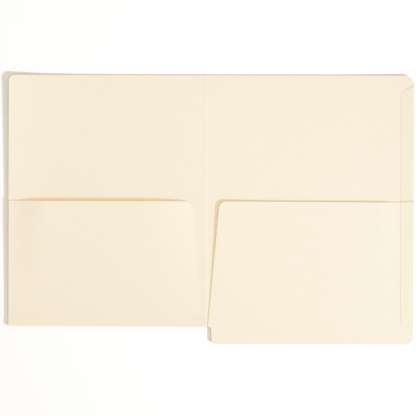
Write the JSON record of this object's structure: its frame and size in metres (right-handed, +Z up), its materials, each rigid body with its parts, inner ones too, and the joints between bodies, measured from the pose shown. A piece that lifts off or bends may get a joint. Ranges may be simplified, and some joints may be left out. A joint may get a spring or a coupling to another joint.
{
  "type": "two pocket folder",
  "caption": "Manila end-tab folder that lies open flat, with a folded pocket inside each cover, a scored spine and a side tab folded over the outer edge.",
  "frame": {"origin": "on the table, under the middle of the open folder's outline", "axes": "+X across the spread from the front cover to the back cover, +Y from the end tab to the top edge, +Z up from the table"},
  "size_m": [0.4699, 0.3112, 0.0027],
  "materials": {
    "manila": "matte",
    "glue": "satin"
  },
  "bodies": {
    "back": {"back_cover": "manila", "back_pocket": "manila", "end_tab_fold": "manila", "end_tab_glue": "glue", "side_tab": "manila", "side_tab_fold": "manila", "side_tab_glue": "glue", "pocket_seam_glue": "glue"},
    "spine": {"spine_strip": "manila"},
    "front": {"front_cover": "manila", "front_pocket": "manila", "front_pocket_fold": "manila", "front_pocket_flap": "manila", "front_flap_fold": "manila", "front_flap_glue": "glue"},
    "front_corner": {"front_pocket_corner": "manila"},
    "back_corner": {"back_pocket_corner": "manila"}
  },
  "joints": [
    {"name": "back_score_fold", "type": "hinge", "parent": "back", "child": "spine", "pos_m": [-0.00397, 0, 0.00018], "axis": [0, 1, 0], "range_deg": [0, 90]},
    {"name": "front_score_fold", "type": "hinge", "parent": "spine", "child": "front", "pos_m": [-0.00873, 0, 0.00018], "axis": [0, 1, 0], "range_deg": [0, 90]},
    {"name": "front_pocket_opening", "type": "hinge", "parent": "front", "child": "front_corner", "pos_m": [-0.00955, -0.13509, 0.0011], "axis": [-0.8409, 0.5412, 0], "range_deg": [-20, 0], "stiffness_Nm_per_rad": 0.05, "deforming": ["front_pocket_corner"]},
    {"name": "back_pocket_opening", "type": "hinge", "parent": "back", "child": "back_corner", "pos_m": [0.21925, 0.00958, 0.00064], "axis": [-0.8368, -0.5475, 0], "range_deg": [-20, 0], "stiffness_Nm_per_rad": 0.05, "deforming": ["back_pocket_corner"]}
  ],
  "couplings": [
    {"joint": "front_score_fold", "follows": "back_score_fold", "ratio": 1}
  ]
}
